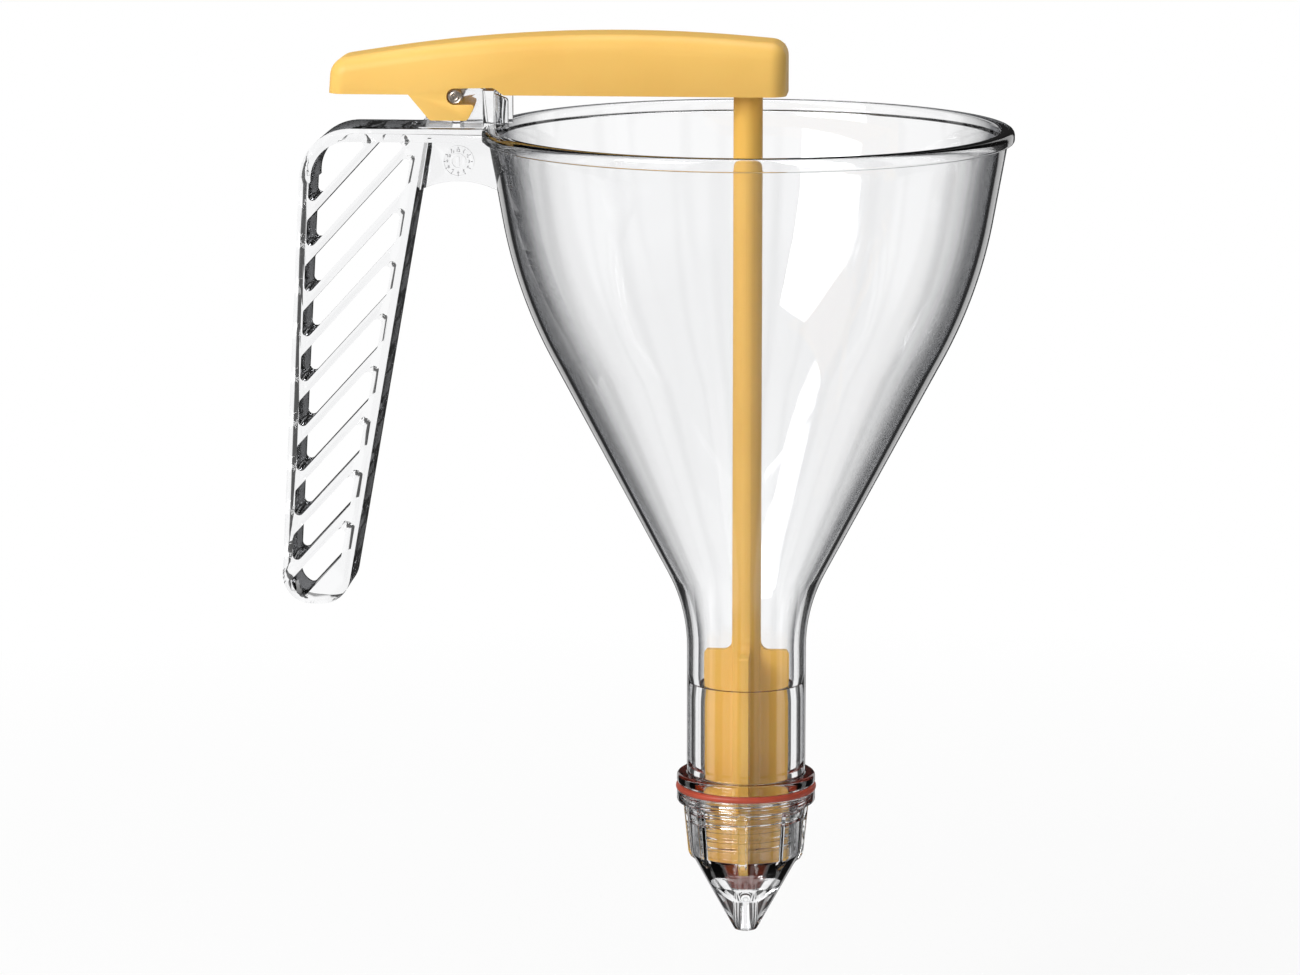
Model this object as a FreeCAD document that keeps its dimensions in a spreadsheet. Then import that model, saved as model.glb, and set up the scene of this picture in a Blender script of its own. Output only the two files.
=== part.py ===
import FreeCAD, Part
import math
import os

import Sketcher

Vector = FreeCAD.Vector

doc = FreeCAD.newDocument("BatterDispenser")

# Driving sizes in millimetres: name, value, what it is.
# The origin is the centre of the outlet's lower face, +Z up the funnel, +X away from the handle.
DRIVING = [
    ("outletRadius", 2.2, "bore the batter leaves by"),
    ("outletLength", 9.7, "straight part of that bore"),
    ("tipWall", 0.9, "wall round the bore at the tip"),
    ("neckBoreRadius", 12.05, "bore that guides the plunger"),
    ("neckLowWall", 1.15, "neck wall under the thread"),
    ("neckStepWidth", 1.25, "step in the neck's bore"),
    ("neckWall", 3.15, "neck wall above that step"),
    ("neckStep", 70.6, "height of that step"),
    ("neckEnd", 22.6, "lower end of the threaded neck"),
    ("neckGap", 0.4, "neck's end above the nozzle's floor"),
    ("threadDepth", 0.7, "depth of both threads"),
    ("threadPitch", 2.75, "rise of one turn"),
    ("threadGap", 0.3, "clearance between crest and root"),
    ("threadTurns", 4.2, "turns on the neck"),
    ("threadLead", 0.9, "first turn above the neck's end"),
    ("threadCrest", 0.3, "half the neck thread's crest"),
    ("threadSink", 0.25, "threads sunk into their walls"),
    ("nutTurns", 2.0, "turns inside the nozzle"),
    ("nutCrest", 0.2, "half the nozzle thread's crest"),
    ("nozzleWall", 0.9, "nozzle wall at its shoulder"),
    ("nozzleTopWall", 2.4, "nozzle wall under its rim"),
    ("nozzleRimWall", 5.0, "nozzle's rim, and the neck's flange over it"),
    ("shoulderDrop", 0.6, "nozzle's shoulder below the neck's end"),
    ("nozzleRimHeight", 3.4, "height of the nozzle's rim"),
    ("nozzleTop", 40.3, "top face of the nozzle's rim"),
    ("seatIn", 1.55, "seat's top inside the neck's bore"),
    ("seatCone", 3.5, "seat's narrowing"),
    ("seatTop", 17.9, "height of the seat's top"),
    ("seatDepth", 4.3, "depth of the seat"),
    ("gripRibCount", 8, "ribs round the nozzle"),
    ("gripRibWidth", 2.0, "width of one of them"),
    ("gripRibRise", 0.9, "how far they stand out"),
    ("gripRibFoot", 3.4, "their lower ends below the shoulder"),
    ("gripRibSlope", 1.6, "slope at those ends"),
    ("gripRibSink", 1.2, "ribs sunk into the wall"),
    ("gripRibGap", 0.4, "their upper ends, from the rim"),
    ("sealHeight", 1.7, "ring between nozzle and flange"),
    ("sealOverhang", 0.3, "ring standing out past the rim"),
    ("flangeHeight", 3.2, "flange round the neck"),
    ("throatRise", 21.2, "corner between neck and cone, above the step"),
    ("throatBend", 45.0, "bend radius there"),
    ("rimRadius", 72.5, "bead over its outside"),
    ("beadOut", 1.8, "bead standing out past the side wall"),
    ("wallLean", 7.3, "side wall's lean from its lower corner to the bead"),
    ("bendDrop", 44.9, "corner between cone and side wall, below the rim"),
    ("bowlBend", 130.0, "bend radius there"),
    ("bowlWall", 2.2, "wall of cone and side"),
    ("rimHeight", 225.0, "top of the bead and of the bridge"),
    ("beadHeight", 3.6, "bead and bridge thickness"),
    ("beadRound", 1.2, "rounding of the bead's edges"),
    ("bridgeWidth", 22.8, "bridge across"),
    ("bridgeInto", 6.0, "bridge into the bead before it is trimmed to it"),
    ("gripWidth", 21.0, "grip across"),
    ("gripCornerOut", 48.8, "grip's upper outer corner from the rim"),
    ("gripCornerBend", 14.0, "bend of that corner"),
    ("cornerSkin", 0.4, "bridge over the outside of that corner"),
    ("cornerFoot", 1.0, "its lower end below the bend"),
    ("gripEndOut", 55.7, "grip's lower end from the rim"),
    ("gripEndDrop", 132.0, "grip's lowest point below the rim"),
    ("gripEndWidth", 17.9, "grip's width at its lower end"),
    ("gripEndBend", 8.0, "rounding of the lower end"),
    ("gripInnerOut", 14.7, "grip's inner side at the bridge, from the rim"),
    ("gripKneeOut", 17.5, "knee in the inner side, from the rim"),
    ("gripKneeDrop", 18.0, "that knee below the rim"),
    ("outerRail", 2.6, "thickness of the outer rail"),
    ("innerRail", 3.2, "thickness of the inner rail"),
    ("barCount", 10, "slanting bars in the grip"),
    ("barThickness", 2.1, "thickness of one bar"),
    ("barTopDrop", 25.4, "top bar's outer end below the rim"),
    ("barStep", 11.75, "height from bar to bar"),
    ("barAngle", 47.5, "slope of the bars in degrees"),
    ("windowRound", 1.3, "rounding in the windows' corners"),
    ("webThickness", 2.4, "web under the bridge"),
    ("webInto", 4.0, "web into the grip"),
    ("webSink", 1.0, "web into the bridge"),
    ("webFoot", 7.0, "web's ends below the arch's top"),
    ("webArchDrop", 15.4, "top of the web's lower arch below the rim"),
    ("webArchOut", 6.8, "middle of that arch from the rim"),
    ("webArchRadius", 24.0, "radius of that arch"),
    ("dialRadius", 4.4, "dial on the web"),
    ("dialDrop", 9.9, "centre of the dial below the rim"),
    ("dialRise", 0.35, "how far its rings stand out"),
    ("pivotOut", 6.7, "hinge pin from the rim"),
    ("pivotRise", 8.8, "hinge pin above the rim"),
    ("pivotRadius", 2.1, "hinge pin radius"),
    ("pivotShort", 0.2, "pin's ends inside the lever's sides"),
    ("pivotChamfer", 0.3, "chamfer of its ends"),
    ("pivotClearance", 0.1, "between pin and lever hooks"),
    ("pivotBoss", 4.3, "bracket round the pin"),
    ("pivotCover", 0.6, "bracket over the pin's top"),
    ("bracketWidth", 15.2, "bracket across"),
    ("bracketPlate", 2.2, "one of its two plates"),
    ("bracketIn", 7.5, "bracket's end over the bowl, from the rim"),
    ("bracketSlope", 2.4, "that end below the post's top"),
    ("bracketFoot", 6.0, "its outer foot past the boss"),
    ("bracketSink", 0.1, "bracket into the bridge"),
    ("postIn", 0.7, "wide post's outer face inside the rim"),
    ("postThickness", 3.2, "wide post along the bridge"),
    ("postWidth", 19.0, "wide post across"),
    ("postRise", 10.4, "top of the wide post above the rim"),
    ("postGap", 0.9, "lever's notch clear of the post"),
    ("leverWidth", 20.7, "lever across"),
    ("leverWall", 2.0, "lever wall"),
    ("leverTailOut", 34.8, "lever's outer end from the pin"),
    ("leverNose", 10.7, "lever's other end past the plunger's axis"),
    ("leverRise", 9.3, "lower edge of the lever above the rim"),
    ("leverTailRise", 9.2, "outer end's top above that edge"),
    ("leverNoseRise", 14.2, "other end's top above it"),
    ("archReach", 50.0, "where the arched top's two ends point, from the axis"),
    ("archRise", 19.2, "height of that place above the lower edge"),
    ("leverRound", 4.5, "rounding of the lever's edges"),
    ("cheekDrop", 6.5, "lowest point of the lever's cheeks below the pin"),
    ("cheekOut", 12.7, "where the cheek starts, from the pin"),
    ("cheekSlope", 5.9, "length of its slanting side"),
    ("hookReach", 5.6, "end of the hook under the pin, from the pin"),
    ("hookLip", 2.2, "slant of that end"),
    ("linkRise", 4.7, "plunger's cross bar above the lever's lower edge"),
    ("linkRadius", 2.0, "cross bar radius"),
    ("linkReach", 7.6, "half the cross bar's length"),
    ("linkClearance", 0.35, "cross bar up and down in its windows"),
    ("linkTravel", 4.2, "how far it shifts along them"),
    ("linkRib", 2.0, "ribs that hold the cross bar"),
    ("linkRibGap", 9.4, "gap between those ribs"),
    ("linkRibBack", 4.0, "ribs behind the cross bar"),
    ("rodRadius", 4.0, "plunger rod"),
    ("rodCap", 1.0, "rod above its cross bar"),
    ("vaneTop", 79.9, "top of the plunger's vanes"),
    ("vaneClearance", 0.3, "between vanes and bore"),
    ("vaneThickness", 2.4, "vane"),
    ("vaneCorner", 1.9, "cut at the vanes' lower corners"),
    ("vaneFillet", 2.4, "hollow between vane and rod"),
    ("stopperShort", 0.2, "stopper's end above the seat's"),
    ("stopperStud", 3.0, "stud that holds the stopper, radius"),
    ("seatGap", 0.1, "between closed stopper and seat"),
]


class Size:
    """A number together with the sheet formula that gives it."""

    def __init__(self, number, text):
        self.number = number
        self.text = text

    def join(self, other, sign, number):
        text = other.text if isinstance(other, Size) else repr(other)
        return Size(number, "(%s %s %s)" % (self.text, sign, text))

    def __add__(self, other):
        return self.join(other, "+", self.number + plain(other))

    def __sub__(self, other):
        return self.join(other, "-", self.number - plain(other))

    def __mul__(self, other):
        return self.join(other, "*", self.number * plain(other))

    def __truediv__(self, other):
        return self.join(other, "/", self.number / plain(other))

    def __neg__(self):
        return Size(-self.number, "(0 - %s)" % self.text)


def plain(value):
    return value.number if isinstance(value, Size) else value


def squareRoot(value):
    return Size(math.sqrt(value.number), "sqrt(%s)" % value.text)


class Sizes:
    """The driving sizes, each as an attribute."""


# Spreadsheet of driving sizes
sheet = doc.addObject("Spreadsheet::Sheet", "Sizes")
sz = Sizes()
for row, (name, value, meaning) in enumerate(DRIVING, start=1):
    sheet.set("A%d" % row, name)
    sheet.set("B%d" % row, str(value))
    sheet.set("C%d" % row, meaning)
    sheet.setAlias("B%d" % row, name)
    setattr(sz, name, Size(float(value), "Sizes." + name))
doc.recompute()

ZERO = sz.outletRadius * 0.0


def bind(target, prop, value):
    """Ties a property of an object to the sheet."""
    target.setExpression(prop, value.text)


def newBody(label):
    body = doc.addObject("PartDesign::Body", label.title().replace("_", ""))
    body.Label = label
    return body


def planeOf(body, role):
    return [item for item in body.Origin.OriginFeatures if item.Role == role][0]


def newSketch(body, name, role):
    """A sketch on one of the body's own planes, or free on the XZ plane when there is no body."""
    if body is None:
        sketch = doc.addObject("Sketcher::SketchObject", name)
        sketch.Placement = FreeCAD.Placement(Vector(0, 0, 0), acrossY)
        return sketch
    sketch = body.newObject("Sketcher::SketchObject", name)
    sketch.AttachmentSupport = [(planeOf(body, role), "")]
    sketch.MapMode = "FlatFace"
    return sketch


# Turns a sketch's plane upright and a cylinder's axis along Y
acrossY = FreeCAD.Rotation(Vector(1, 0, 0), 90)


def pinPoint(sketch, geometry, end, across, up):
    """Holds a point of the sketch at a place worked out from the sheet."""
    for kind, value in (("DistanceX", across), ("DistanceY", up)):
        number = sketch.addConstraint(Sketcher.Constraint(kind, -1, 1, geometry, end, value.number))
        bind(sketch, "Constraints[%d]" % number, value)


def cornerArc(before, corner, after, radius):
    """Start, end, centre and sense of the arc that rounds a corner."""
    inward = (before - corner).normalize()
    onward = (after - corner).normalize()
    half = inward.getAngle(onward) / 2
    first = corner + inward * (radius / math.tan(half))
    last = corner + onward * (radius / math.tan(half))
    centre = corner + (inward + onward).normalize() * (radius / math.sin(half))
    leftTurn = (corner - before).cross(after - corner).z > 0
    return first, last, centre, leftTurn


def outline(sketch, corners):
    """Closed outline through (across, up) corners; a third value rounds the corner."""
    points = [Vector(c[0].number, c[1].number, 0) for c in corners]
    count = len(points)
    arcs = {}
    for i, corner in enumerate(corners):
        if len(corner) == 3:
            after = points[(i + 1) % count]
            arcs[i] = cornerArc(points[i - 1], points[i], after, corner[2].number)
    lines = []
    for i in range(count):
        start = arcs[i][1] if i in arcs else points[i]
        following = (i + 1) % count
        end = arcs[following][0] if following in arcs else points[following]
        lines.append(sketch.addGeometry(Part.LineSegment(start, end)))
    for i, corner in enumerate(corners):
        if i not in arcs:
            sketch.addConstraint(Sketcher.Constraint("Coincident", lines[i - 1], 2, lines[i], 1))
            pinPoint(sketch, lines[i], 1, corner[0], corner[1])
            continue
        first, last, centre, leftTurn = arcs[i]
        begin, finish = (first, last) if leftTurn else (last, first)
        angles = [math.atan2(p.y - centre.y, p.x - centre.x) for p in (begin, finish)]
        circle = Part.Circle(centre, Vector(0, 0, 1), corner[2].number)
        arc = sketch.addGeometry(Part.ArcOfCircle(circle, angles[0], angles[1]))
        near, far = (1, 2) if leftTurn else (2, 1)
        mark = sketch.addGeometry(Part.Point(points[i]), True)
        pinPoint(sketch, mark, 1, corner[0], corner[1])
        sketch.addConstraint(Sketcher.Constraint("PointOnObject", mark, 1, lines[i - 1]))
        sketch.addConstraint(Sketcher.Constraint("PointOnObject", mark, 1, lines[i]))
        sketch.addConstraint(Sketcher.Constraint("Tangent", lines[i - 1], 2, arc, near))
        sketch.addConstraint(Sketcher.Constraint("Tangent", lines[i], 1, arc, far))
        number = sketch.addConstraint(Sketcher.Constraint("Radius", arc, corner[2].number))
        bind(sketch, "Constraints[%d]" % number, corner[2])
    return sketch


def bodyOutline(body, name, role, corners):
    return outline(newSketch(body, name, role), corners)


def freeOutline(name, corners):
    return outline(newSketch(None, name, None), corners)


def revolve(body, sketch):
    feature = body.newObject("PartDesign::Revolution", sketch.Name + "Turned")
    feature.Profile = sketch
    feature.ReferenceAxis = (sketch, ["V_Axis"])
    feature.Angle = 360
    return feature


def pad(body, sketch, length, kind="PartDesign::Pad"):
    """Pads or pockets a sketch by the same amount to both sides of its plane."""
    feature = body.newObject(kind, sketch.Name + "Solid")
    feature.Profile = sketch
    feature.SideType = "Symmetric"
    bind(feature, "Length", length)
    return feature


def roundEdges(body, base, radius, wanted):
    """Rounds the edges of a feature that the test picks."""
    doc.recompute()
    names = ["Edge%d" % (i + 1) for i, edge in enumerate(base.Shape.Edges) if wanted(edge)]
    feature = body.newObject("PartDesign::Fillet", base.Name + "Rounded")
    feature.Base = (base, names)
    bind(feature, "Radius", radius)
    return feature


def solidBar(name, length, width, height, place):
    bar = doc.addObject("Part::Box", name)
    bind(bar, "Length", length)
    bind(bar, "Width", width)
    bind(bar, "Height", height)
    for axis, value in zip("xyz", place):
        bind(bar, "Placement.Base." + axis, value)
    return bar


def roundBar(name, radius, length, place):
    """A cylinder along Y; place is the centre of the end it starts from, and it runs towards -Y."""
    bar = doc.addObject("Part::Cylinder", name)
    bind(bar, "Radius", radius)
    bind(bar, "Height", length)
    bar.Placement.Rotation = acrossY
    for axis, value in zip("xyz", place):
        bind(bar, "Placement.Base." + axis, value)
    return bar


def extrude(name, sketch, length):
    solid = doc.addObject("Part::Extrusion", name)
    solid.Base = sketch
    solid.DirMode = "Normal"
    solid.Solid = True
    solid.Symmetric = True
    bind(solid, "LengthFwd", length)
    return solid


def screwRidge(name, root, depth, pitch, turns, low, crest):
    """A screw ridge: a trapezoid carried along a helix. Depth below zero points it inwards."""
    helix = Part.makeHelix(pitch, pitch * turns, root)
    helix.translate(Vector(0, 0, low))
    sink = sz.threadSink.number
    foot = crest + (abs(depth) + sink) * 0.58
    start = root - math.copysign(sink, depth)
    top = root + depth
    ring = [
        Vector(start, 0, low - foot),
        Vector(top, 0, low - crest),
        Vector(top, 0, low + crest),
        Vector(start, 0, low + foot),
    ]
    profile = Part.makePolygon(ring + ring[:1])
    pipe = Part.BRepOffsetAPI.MakePipeShell(Part.Wire(helix))
    pipe.setFrenetMode(True)
    pipe.add(profile)
    pipe.build()
    pipe.makeSolid()
    ridge = doc.addObject("Part::Feature", name)
    ridge.Shape = pipe.shape()
    return ridge


def fuse(name, parts):
    joined = doc.addObject("Part::MultiFuse", name)
    joined.Shapes = parts
    joined.Refine = False
    return joined


def cut(name, base, tool):
    result = doc.addObject("Part::Cut", name)
    result.Base = base
    result.Tool = tool
    result.Refine = False
    return result


# Radii round the plunger's axis, from the bore outwards
neckInside = sz.neckBoreRadius + sz.neckStepWidth
neckRadius = neckInside + sz.neckWall
threadRoot = sz.neckBoreRadius + sz.neckLowWall
threadRadius = threadRoot + sz.threadDepth
nutRoot = threadRadius + sz.threadGap
shoulderRadius = nutRoot + sz.nozzleWall
nozzleBodyRadius = nutRoot + sz.nozzleTopWall
nozzleRimRadius = nutRoot + sz.nozzleRimWall
seatRadius = sz.neckBoreRadius - sz.seatIn
seatLowRadius = seatRadius - sz.seatCone
tipRadius = sz.outletRadius + sz.tipWall
wallTopRadius = sz.rimRadius - sz.beadOut
bendRadius = wallTopRadius - sz.wallLean
vaneReach = sz.neckBoreRadius - sz.vaneClearance

# Heights, from the tip upwards
seatLow = sz.seatTop - sz.seatDepth
vaneLow = sz.seatTop - sz.seatGap
stopperHeight = sz.seatDepth - sz.stopperShort
stopperLow = vaneLow - stopperHeight
shoulderHeight = sz.neckEnd - sz.shoulderDrop
nozzleRimLow = sz.nozzleTop - sz.nozzleRimHeight
flangeLow = sz.nozzleTop + sz.sealHeight
flangeTop = flangeLow + sz.flangeHeight
throatHeight = sz.neckStep + sz.throatRise
bendHeight = sz.rimHeight - sz.bendDrop
beadLow = sz.rimHeight - sz.beadHeight
pivotHeight = sz.rimHeight + sz.pivotRise
postTop = sz.rimHeight + sz.postRise
leverLow = sz.rimHeight + sz.leverRise
linkHeight = leverLow + sz.linkRise

# Places along the handle, from the axis
gripCorner = sz.rimRadius + sz.gripCornerOut
gripEnd = sz.rimRadius + sz.gripEndOut
gripInner = sz.rimRadius + sz.gripInnerOut
gripKnee = sz.rimRadius + sz.gripKneeOut
pivotReach = sz.rimRadius + sz.pivotOut
archMiddle = sz.rimRadius + sz.webArchOut
bracketEnd = sz.rimRadius - sz.bracketIn
postFace = sz.rimRadius - sz.postIn
leverTail = pivotReach + sz.leverTailOut

# Funnel: bowl, neck, flange and threaded end in one moulding
coneRun = bendRadius - neckRadius
coneRise = bendHeight - throatHeight
coneStretch = squareRoot(coneRun * coneRun + coneRise * coneRise) / coneRise
throatInside = throatHeight - (sz.neckWall - sz.bowlWall * coneStretch) * coneRise / coneRun
outsideWall = [
    (neckRadius, flangeTop),
    (neckRadius, throatHeight, sz.throatBend),
    (bendRadius, bendHeight, sz.bowlBend),
    (wallTopRadius, beadLow),
    (sz.rimRadius, beadLow, sz.beadRound * 0.5),
    (sz.rimRadius, sz.rimHeight, sz.beadRound),
]
insideWall = [
    (wallTopRadius - sz.bowlWall, sz.rimHeight, sz.beadRound * 0.6),
    (bendRadius - sz.bowlWall, bendHeight + sz.bowlWall / 3, sz.bowlBend),
    (neckInside, throatInside, sz.throatBend),
    (neckInside, sz.neckStep),
    (sz.neckBoreRadius, sz.neckStep),
    (sz.neckBoreRadius, sz.neckEnd),
]
neckFoot = [
    (threadRoot, sz.neckEnd),
    (threadRoot, nozzleRimLow),
    (threadRadius, nozzleRimLow),
    (threadRadius, flangeLow),
    (nozzleRimRadius, flangeLow, sz.flangeHeight * 0.3),
    (nozzleRimRadius, flangeTop, sz.flangeHeight * 0.3),
]
funnelBody = newBody("funnel_shell")
funnelSection = neckFoot + outsideWall + insideWall
revolve(funnelBody, bodyOutline(funnelBody, "FunnelSection", "XZ_Plane", funnelSection))
doc.recompute()
threadLow = sz.neckEnd + sz.threadLead
neckThread = screwRidge(
    "NeckThread", threadRoot.number, sz.threadDepth.number, sz.threadPitch.number,
    sz.threadTurns.number, threadLow.number, sz.threadCrest.number,
)
funnel = fuse("Funnel", [funnelBody, neckThread])
funnel.Label = "funnel"

# Seal ring under the flange
sealBody = newBody("nozzle_seal")
sealOutside = nozzleRimRadius + sz.sealOverhang
revolve(sealBody, bodyOutline(sealBody, "SealSection", "XZ_Plane", [
    (nutRoot, sz.nozzleTop),
    (sealOutside, sz.nozzleTop, sz.sealHeight * 0.42),
    (sealOutside, flangeLow, sz.sealHeight * 0.42),
    (nutRoot, flangeLow),
]))

# Nozzle: a threaded cap with a conical tip and ribs round it
nozzleBody = newBody("nozzle_shell")
revolve(nozzleBody, bodyOutline(nozzleBody, "NozzleSection", "XZ_Plane", [
    (sz.outletRadius, ZERO),
    (tipRadius, ZERO, sz.tipWall * 0.4),
    (shoulderRadius, shoulderHeight, shoulderRadius * 0.2),
    (nozzleBodyRadius, nozzleRimLow),
    (nozzleRimRadius, nozzleRimLow, sz.nozzleRimHeight * 0.25),
    (nozzleRimRadius, sz.nozzleTop, sz.nozzleRimHeight * 0.15),
    (nutRoot, sz.nozzleTop),
    (nutRoot, sz.neckEnd - sz.neckGap),
    (seatRadius, sz.seatTop),
    (seatLowRadius, seatLow),
    (sz.outletRadius, sz.outletLength, sz.outletRadius * 0.6),
]))
doc.recompute()
nutLow = threadLow + sz.threadPitch * 2.5
nutThread = screwRidge(
    "NutThread", nutRoot.number, -sz.threadDepth.number, sz.threadPitch.number,
    sz.nutTurns.number, nutLow.number, sz.nutCrest.number,
)
ribCount = int(sz.gripRibCount.number)
ribTop = nozzleRimLow + sz.gripRibGap
ribOutside = shoulderRadius + sz.gripRibRise
ribSection = [
    (nozzleBodyRadius - sz.gripRibSink, ribTop),
    (shoulderRadius - sz.gripRibSink, shoulderHeight - sz.gripRibFoot + sz.gripRibSlope),
    (ribOutside, shoulderHeight + sz.gripRibGap),
    (nozzleBodyRadius + sz.gripRibRise, ribTop),
]
nozzleRibs = []
for i in range(ribCount):
    rib = extrude("NozzleRib%d" % i, freeOutline("RibSection%d" % i, ribSection), sz.gripRibWidth)
    turn = FreeCAD.Rotation(Vector(0, 0, 1), 360.0 * i / ribCount)
    rib.Placement = FreeCAD.Placement(Vector(0, 0, 0), turn)
    nozzleRibs.append(rib)
nozzle = fuse("Nozzle", [nozzleBody, nutThread] + nozzleRibs)
nozzle.Label = "nozzle"

# Stopper: a soft cone on a stud under the vanes
stopperBody = newBody("stopper")
seatSlope = sz.seatCone / sz.seatDepth
sideGap = sz.seatGap * 1.3
studLow = vaneLow - stopperHeight * 0.6
stopperTopRadius = seatRadius + (vaneLow - sz.seatTop) * seatSlope - sideGap
stopperLowRadius = seatRadius + (stopperLow - sz.seatTop) * seatSlope - sideGap
revolve(stopperBody, bodyOutline(stopperBody, "StopperSection", "XZ_Plane", [
    (ZERO, stopperLow),
    (stopperLowRadius, stopperLow, stopperHeight * 0.1),
    (stopperTopRadius, vaneLow, stopperHeight * 0.08),
    (sz.stopperStud, vaneLow),
    (sz.stopperStud, studLow),
    (ZERO, studLow),
]))

# Plunger: rod, crossed vanes, stud and cross bar in one moulding
plungerBody = newBody("plunger")
rodTop = linkHeight + sz.linkRadius + sz.rodCap
revolve(plungerBody, bodyOutline(plungerBody, "RodSection", "XZ_Plane", [
    (ZERO, studLow),
    (sz.stopperStud, studLow),
    (sz.stopperStud, vaneLow),
    (sz.rodRadius, vaneLow),
    (sz.rodRadius, rodTop, sz.rodRadius * 0.2),
    (ZERO, rodTop),
]))
vaneRun = sz.vaneTop + sz.vaneFillet * 1.6
vaneOutline = [
    (-vaneReach, vaneLow + sz.vaneCorner),
    (-vaneReach + sz.vaneCorner, vaneLow),
    (vaneReach - sz.vaneCorner, vaneLow),
    (vaneReach, vaneLow + sz.vaneCorner),
    (vaneReach, sz.vaneTop, sz.vaneCorner * 0.5),
    (sz.rodRadius, sz.vaneTop, sz.vaneFillet),
    (sz.rodRadius, vaneRun),
    (-sz.rodRadius, vaneRun),
    (-sz.rodRadius, sz.vaneTop, sz.vaneFillet),
    (-vaneReach, sz.vaneTop, sz.vaneCorner * 0.5),
]
pad(plungerBody, bodyOutline(plungerBody, "VaneAlong", "XZ_Plane", vaneOutline), sz.vaneThickness)
pad(plungerBody, bodyOutline(plungerBody, "VaneAcross", "YZ_Plane", vaneOutline), sz.vaneThickness)
barSketch = newSketch(plungerBody, "CrossBarSection", "XZ_Plane")
barCircle = Part.Circle(Vector(0, linkHeight.number, 0), Vector(0, 0, 1), sz.linkRadius.number)
ring = barSketch.addGeometry(barCircle)
pinPoint(barSketch, ring, 3, ZERO, linkHeight)
number = barSketch.addConstraint(Sketcher.Constraint("Radius", ring, sz.linkRadius.number))
bind(barSketch, "Constraints[%d]" % number, sz.linkRadius)
pad(plungerBody, barSketch, sz.linkReach * 2)

# Hinge pin
pinLength = sz.leverWidth - sz.pivotShort * 2
pin = roundBar("PivotPinBlank", sz.pivotRadius, pinLength, (-pivotReach, pinLength / 2, pivotHeight))
doc.recompute()
pivotPin = doc.addObject("Part::Chamfer", "PivotPin")
pivotPin.Base = pin
bevel = sz.pivotChamfer.number
pinEnds = [i + 1 for i, edge in enumerate(pin.Shape.Edges) if len(edge.Vertexes) == 1]
pivotPin.Edges = [(i, bevel, bevel) for i in pinEnds]
pivotPin.Label = "pivot_pin"

# Lever: an upturned channel with hooked cheeks and a pair of inner ribs
leverBody = newBody("lever")
hookRadius = sz.pivotRadius + sz.pivotClearance
hookBack = -pivotReach - hookRadius
hookTop = pivotHeight + hookRadius
hookLow = pivotHeight - hookRadius
hookEnd = pivotReach - sz.hookReach
cheekLow = pivotHeight - sz.cheekDrop
cheekTail = pivotReach + sz.cheekOut
tailTop = leverLow + sz.leverTailRise
noseTop = leverLow + sz.leverNoseRise
archTop = leverLow + sz.archRise
noseRun = sz.archReach + sz.leverNose
tailRun = leverTail - sz.archReach
tailSlope = (archTop - tailTop) / tailRun
noseSlope = (archTop - noseTop) / noseRun
archRun = noseRun * tailRun / (noseRun + tailRun) * 1.6
archRadius = archRun * 2 / (tailSlope + noseSlope)
leverOutline = [
    (-leverTail, leverLow),
    (-cheekTail, leverLow),
    (-cheekTail + sz.cheekSlope, cheekLow, sz.pivotRadius * 0.6),
    (-hookEnd - sz.hookLip, cheekLow, sz.pivotRadius * 0.6),
    (-hookEnd, hookLow, sz.pivotRadius * 0.3),
    (hookBack, hookLow, hookRadius * 0.98),
    (hookBack, hookTop, hookRadius * 0.98),
    (-postFace + sz.postThickness, postTop + sz.postGap, sz.pivotRadius),
    (-bracketEnd - sz.postGap, leverLow),
    (sz.leverNose, leverLow),
    (sz.leverNose, noseTop, sz.leverRound * 1.02),
    (-sz.archReach, archTop, archRadius),
    (-leverTail + sz.leverWall * 0.3, tailTop, sz.leverRound * 1.2),
]
leverSide = bodyOutline(leverBody, "LeverSide", "XZ_Plane", leverOutline)
leverBlank = pad(leverBody, leverSide, sz.leverWidth)
sideAt = sz.leverWidth.number / 2
lowLimit = tailTop.number - sz.leverTailRise.number * 0.4


def roundedEdge(edge):
    """True for an edge of either side face that is not along the lever's underside."""
    box = edge.BoundBox
    inSide = box.YLength < 1e-4 and abs(abs(box.YMin) - sideAt) < 1e-3
    return inSide and box.ZMax > lowLimit


leverRounded = roundEdges(leverBody, leverBlank, sz.leverRound, roundedEdge)
channelLow = cheekLow - sz.leverWall / 2
channelOutline = [
    (-leverTail + sz.leverWall, channelLow),
    (sz.leverNose - sz.leverWall, channelLow),
    (sz.leverNose - sz.leverWall, noseTop - sz.leverWall, sz.leverRound * 0.8),
    (-sz.archReach, archTop - sz.leverWall, archRadius),
    (-leverTail + sz.leverWall * 1.3, tailTop - sz.leverWall, sz.leverRound * 0.8),
]
channelSide = bodyOutline(leverBody, "ChannelSide", "XZ_Plane", channelOutline)
channel = pad(leverBody, channelSide, sz.leverWidth - sz.leverWall * 2, "PartDesign::Pocket")
ribBack = -sz.linkRadius - sz.linkRibBack
ribFront = sz.leverNose - sz.leverWall / 2
ribLow = leverLow + sz.linkRib * 0.1
ribTop = noseTop - sz.leverWall * 0.6
linkWidth = sz.linkRibGap + sz.linkRib * 2
ribBlock = bodyOutline(leverBody, "LinkRibBlock", "XZ_Plane", [
    (ribBack, ribLow),
    (ribFront, ribLow),
    (ribFront, ribTop),
    (ribBack, ribTop),
])
pad(leverBody, ribBlock, linkWidth)
gapBack = ribBack - sz.linkRib / 2
gapFront = sz.leverNose - sz.leverWall
gapLow = leverLow - sz.linkRib / 2
gapTop = noseTop - sz.leverWall
ribGap = bodyOutline(leverBody, "LinkRibGap", "XZ_Plane", [
    (gapBack, gapLow),
    (gapFront, gapLow),
    (gapFront, gapTop),
    (gapBack, gapTop),
])
pad(leverBody, ribGap, sz.linkRibGap, "PartDesign::Pocket")
windowReach = sz.linkRadius + sz.linkClearance
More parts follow.
